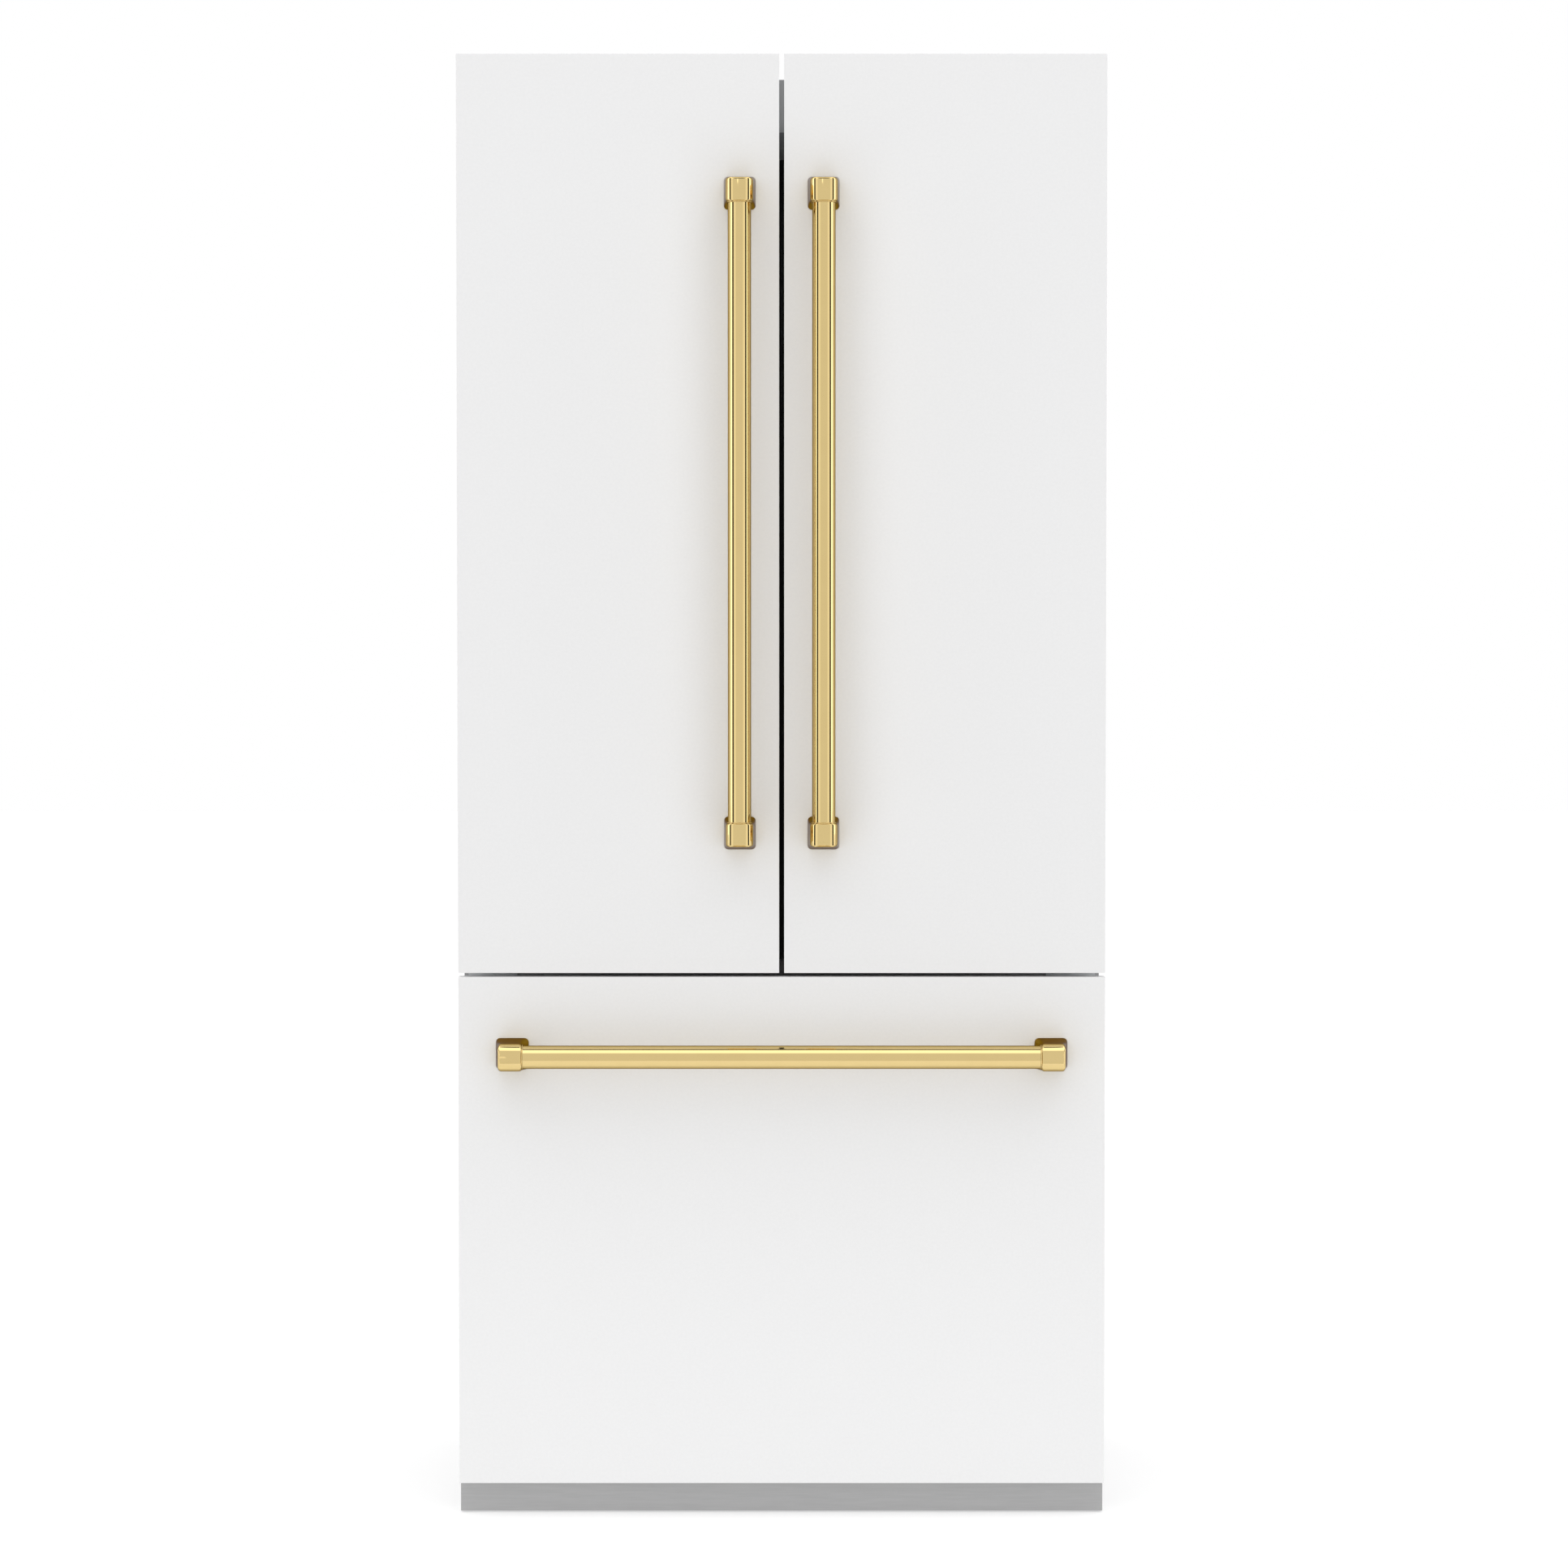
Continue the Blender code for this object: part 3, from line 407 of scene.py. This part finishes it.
# ------------------------------------------------------------------ small parts that ride on the frame
def lathe(bm, centre, axis, profile, n=32):
    """Adds a turned shape: profile is (radius, distance along the axis) from its base to its tip; the ends are left
    open for the caller to close.
    """
    c = Vector(centre)

    def at(r, t, a):
        u, v = r * math.cos(a), r * math.sin(a)
        return c + {"X": Vector((t, u, v)), "Y": Vector((u, t, v)), "Z": Vector((u, v, t))}[axis]

    rings = [[bm.verts.new(at(r, t, math.tau * i / n) * MM) for i in range(n)] for r, t in profile]
    for a, b in zip(rings, rings[1:]):
        for i in range(n):
            bm.faces.new((a[i], a[(i + 1) % n], b[(i + 1) % n], b[i]))
    return rings


def screw_heads(name, spots, axis, out, radius, height, mat, body):
    """Pan-head screws with a round recess, one mesh of separate solids. out is +1 or -1, the way the heads face."""
    bm = bmesh.new()
    for spot in spots:
        h = height * out
        prof = [(radius, 0.0), (radius, 0.25 * h), (radius * 0.93, 0.6 * h), (radius * 0.72, 0.88 * h), (radius * 0.45, h), (radius * 0.36, h), (radius * 0.26, 0.45 * h)]
        rings = lathe(bm, spot, axis, prof, 20)
        bm.faces.new(rings[0])
        bm.faces.new(rings[-1][::-1])
    return piece(name, bm, mat, body, smooth=35)


def ring_part(name, centre, axis, r_in, r_out, depth, out, mat, body, n=40, edge=0.7):
    """A turned ring with rounded rims, such as a bumper or a grommet."""
    bm = bmesh.new()
    d = depth * out
    e = edge
    prof = [(r_in, 0), (r_out, 0), (r_out, d - e * out), (r_out - 0.3 * e, d - 0.3 * e * out), (r_out - e, d), (r_in + e, d), (r_in + 0.3 * e, d - 0.3 * e * out), (r_in, d - e * out), (r_in, 0)]
    lathe(bm, centre, axis, prof, n)
    return piece(name, bm, mat, body, smooth=35)


def plate(name, xs, zs, holes, y, thick, mat, body, bevel=0.3):
    """A sheet in the XZ plane with square holes: cells of the grid xs by zs are filled unless hole(x, z) says otherwise."""
    bm = bmesh.new()
    grid = {}

    def v(x, z, k):
        key = (x, z, k)
        if key not in grid:
            grid[key] = bm.verts.new(Vector((x, y + (thick if k else 0), z)) * MM)
        return grid[key]

    full = set()
    for i in range(len(xs) - 1):
        for j in range(len(zs) - 1):
            cx, cz = (xs[i] + xs[i + 1]) / 2, (zs[j] + zs[j + 1]) / 2
            if not any(a < cx < b and c < cz < d for a, b, c, d in holes):
                full.add((i, j))
    for i, j in full:
        x0, x1, z0, z1 = xs[i], xs[i + 1], zs[j], zs[j + 1]
        bm.faces.new((v(x0, z0, 0), v(x1, z0, 0), v(x1, z1, 0), v(x0, z1, 0)))
        bm.faces.new((v(x0, z1, 1), v(x1, z1, 1), v(x1, z0, 1), v(x0, z0, 1)))
        for di, dj, a, b in ((-1, 0, (x0, z0), (x0, z1)), (1, 0, (x1, z1), (x1, z0)), (0, -1, (x1, z0), (x0, z0)), (0, 1, (x0, z1), (x1, z1))):
            if (i + di, j + dj) not in full:
                bm.faces.new((v(*a, 0), v(*b, 0), v(*b, 1), v(*a, 1)))
    return piece(name, bm, mat, body, bevel=bevel, segments=2, smooth=40)


# Black seals on each free edge of the doors, near-black and almost without gloss: partly a real seal, partly painted
# shade standing in for the dark slit between the doors.
for side, s_ in (("left", -1), ("right", 1)):
    c, lo, hi = mid(f"{side}_door_body")
    x0, x1 = sorted((s_ * 0.12, s_ * 11.3))
    strip(f"{side}_door_edge_seal_painted_slit_shade", (x0, -251, 777), (x1, -241, 1888), SEAL_AND_PAINTED_SHADE, f"{side}_door", 0.4)

# Back: pressed beads, a louvred cover over the machine compartment, screws, bumpers and the cord's grommet.
c, lo, hi = mid("cabinet_back")
for i, x0 in enumerate((-300, -100, 100, 300)):
    bm = bmesh.new()
    rings = []
    for z, k in ((360, 0.0), (366, 0.75), (374, 1.0), (1840, 1.0), (1848, 0.75), (1854, 0.0)):
        w, h = 15 * (0.5 + 0.5 * k), 0.15 + 3.5 * k
        rings.append([(x0 - w, 333.02, z), (x0 - w * 0.62, 333.02 + h * 0.72, z), (x0 - w * 0.25, 333.02 + h, z), (x0 + w * 0.25, 333.02 + h, z), (x0 + w * 0.62, 333.02 + h * 0.72, z), (x0 + w, 333.02, z)])
    loft(bm, rings)
    piece(f"back_bead_{i + 1}", bm, BACK, "cabinet", smooth=50)
slots = [(-340, -60, 110 + i * 26, 120 + i * 26) for i in range(6)]
xs = sorted({-412, -340, -60, 308, 352, 412})
zs = sorted({68, 312, 128, 172} | {v for h in slots for v in h[2:]})
plate("machine_cover", xs, zs, slots + [(308, 352, 128, 172)], 333.1, 1.3, COVER, "cabinet", 0.35)
spots = [(x, 334.4, z) for z in (78, 302) for x in (-400, -200, 0, 200, 400)]
screw_heads("machine_cover_screws", spots, "Y", 1, 4.2, 1.9, ZINC, "cabinet")
spots = [(s * 438, 333.0, z) for s in (-1, 1) for z in (360, 660, 960, 1260, 1560, 1860)] + [(x, 333.0, 1994) for x in (-400, -200, 0, 200, 400)]
screw_heads("back_sheet_screws", spots, "Y", 1, 4.0, 1.9, ZINC, "cabinet")
for tag, s_ in (("left", -1), ("right", 1)):
    ring_part(f"back_bumper_ring_{tag}", (s_ * 380, 333.0, 1880), "Y", 14.2, 19.0, 3.6, 1, RUBBER, "cabinet")
ring_part("cord_grommet", (330, 333.0, 150), "Y", 13.2, 19.0, 3.4, 1, DARK, "cabinet")
# Screws of the hinge flanges
for tag, s_ in (("left", -1), ("right", 1)):
    spots = [(s_ * (432 + dx), -200.9, z) for dx in (-50, -26) for z in (1948, 1974)]
    screw_heads(f"upper_hinge_screws_{tag}", spots, "Y", -1, 4.2, 2.0, ZINC, "cabinet")
    spots = [(s_ * (432 + dx), -200.9, z) for dx in (-50, -26) for z in (740, 756)]
    screw_heads(f"centre_hinge_screws_{tag}", spots, "Y", -1, 3.8, 1.8, ZINC, "cabinet")

# lamp under the control panel
c, lo, hi = mid("control_panel")
for tag, s_ in (("left", -1), ("right", 1)):
    x0, x1 = sorted((s_ * 40, s_ * (hi.x - 24)))
    strip(f"lamp_diffuser_{tag}", (x0, lo.y + 20, lo.z - 3), (x1, hi.y - 20, lo.z - 0.3), LAMP, "cabinet", 1.2)

# ------------------------------------------------------------------ floor, light, camera
FLOOR, nt, s = material("pale_floor")
nt.links.new(blend_colours(nt, noise(nt, coords(nt), 2.0), (0.44, 0.44, 0.44), (0.46, 0.46, 0.46)), s.inputs["Base Color"])
s.inputs["Roughness"].default_value = 0.9
s.inputs["Specular IOR Level"].default_value = 0.1
s.inputs["Emission Color"].default_value = (1, 1, 1, 1)
s.inputs["Emission Strength"].default_value = 0.58
bm = bmesh.new()
bmesh.ops.create_grid(bm, x_segments=1, y_segments=1, size=1.0)
bmesh.ops.scale(bm, vec=(20, (20 + 1.44) / 2, 1), verts=bm.verts)
bmesh.ops.translate(bm, vec=(0, (20 - 1.44) / 2, 0), verts=bm.verts)
mesh = bpy.data.meshes.new("studio_floor")
bm.to_mesh(mesh)
bm.free()
mesh.materials.append(FLOOR)
floor = bpy.data.objects.new("studio_floor", mesh)
floor.location.z = -0.0005
bpy.context.scene.collection.objects.link(floor)
floor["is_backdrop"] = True

# A soft-box studio round the object: bright panels with dark joints between them, which a polished bar mirrors as bands.
world = bpy.data.worlds.new("studio")
bpy.context.scene.world = world
world.use_nodes = True
nt = world.node_tree
bg = nt.nodes["Background"]


def calc(op, *values):
    n = nt.nodes.new("ShaderNodeMath")
    n.operation = op
    for socket, v in zip(n.inputs, values):
        if isinstance(v, (int, float)):
            socket.default_value = v
        else:
            nt.links.new(v, socket)
    return n.outputs[0]


def ramp(value, stops):
    r = nt.nodes.new("ShaderNodeValToRGB")
    e = r.color_ramp.elements
    while len(e) < len(stops):
        e.new(0.5)
    for item, (at, level) in zip(e, stops):
        item.position = at
    for item, (at, level) in zip(e, stops):
        item.color = (level, level, level, 1)
    nt.links.new(value, r.inputs["Fac"])
    return r.outputs["Color"]


tc = nt.nodes.new("ShaderNodeTexCoord")
xyz = nt.nodes.new("ShaderNodeSeparateXYZ")
nt.links.new(tc.outputs["Generated"], xyz.inputs[0])
x, y, z = xyz.outputs
around = calc("DIVIDE", calc("ARCTAN2", calc("ABSOLUTE", x), calc("MULTIPLY", y, -1.0)), math.pi)
height = calc("ADD", calc("DIVIDE", calc("ARCSINE", z), math.pi), 0.5)
STRENGTH = 1.16
LEVEL = 2.0
turn_levels = [(0, 0.78), (35, 0.78), (39, 1.0), (57, 1.0), (59, 0.06), (75, 0.06), (78, 1.8), (101, 1.8), (108, 0.5), (180, 0.5)]
rise_levels = [(-90, 1.45), (-34, 1.45), (-30, 1.0), (43, 1.0), (50, 1.7), (79, 1.7), (83, 0.1), (90, 0.1)]
by_turn = ramp(around, [(a / 180, v / LEVEL) for a, v in turn_levels])
by_rise = ramp(height, [((a + 90) / 180, v / LEVEL) for a, v in rise_levels])
high = nt.nodes.new("ShaderNodeMapRange")
high.inputs["From Min"].default_value = 0.5 + 35 / 180
high.inputs["From Max"].default_value = 0.5 + 55 / 180
nt.links.new(height, high.inputs["Value"])
turned = calc("ADD", calc("MULTIPLY", by_turn, calc("SUBTRACT", 1.0, high.outputs[0])), calc("MULTIPLY", high.outputs[0], 0.9 / LEVEL))
studio = calc("MULTIPLY", calc("MULTIPLY", turned, by_rise), LEVEL * LEVEL * STRENGTH)
path = nt.nodes.new("ShaderNodeLightPath")
seen = nt.nodes.new("ShaderNodeMix")
seen.data_type = "FLOAT"
nt.links.new(path.outputs["Is Camera Ray"], seen.inputs["Factor"])
nt.links.new(studio, seen.inputs[2])
seen.inputs[3].default_value = 1.0
bg.inputs["Color"].default_value = (1, 1, 1, 1)
nt.links.new(seen.outputs[0], bg.inputs["Strength"])

bpy.context.scene.view_settings.view_transform = "Standard"

DOOR_Y = -0.273
DISTANCE, EYE, PITCH = 5.6, 1.256, math.radians(1.72)
cam = bpy.data.cameras.new("camera")
cam.lens, cam.sensor_width = 92.68, 36.0
cam.shift_x, cam.shift_y = 0.0015, -0.030
camera = bpy.data.objects.new("camera", cam)
camera.location = (0.0, DOOR_Y - DISTANCE, EYE)
camera.rotation_euler = (math.pi / 2 - PITCH, 0, 0)
bpy.context.scene.collection.objects.link(camera)
bpy.context.scene.camera = camera

lo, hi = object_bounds()
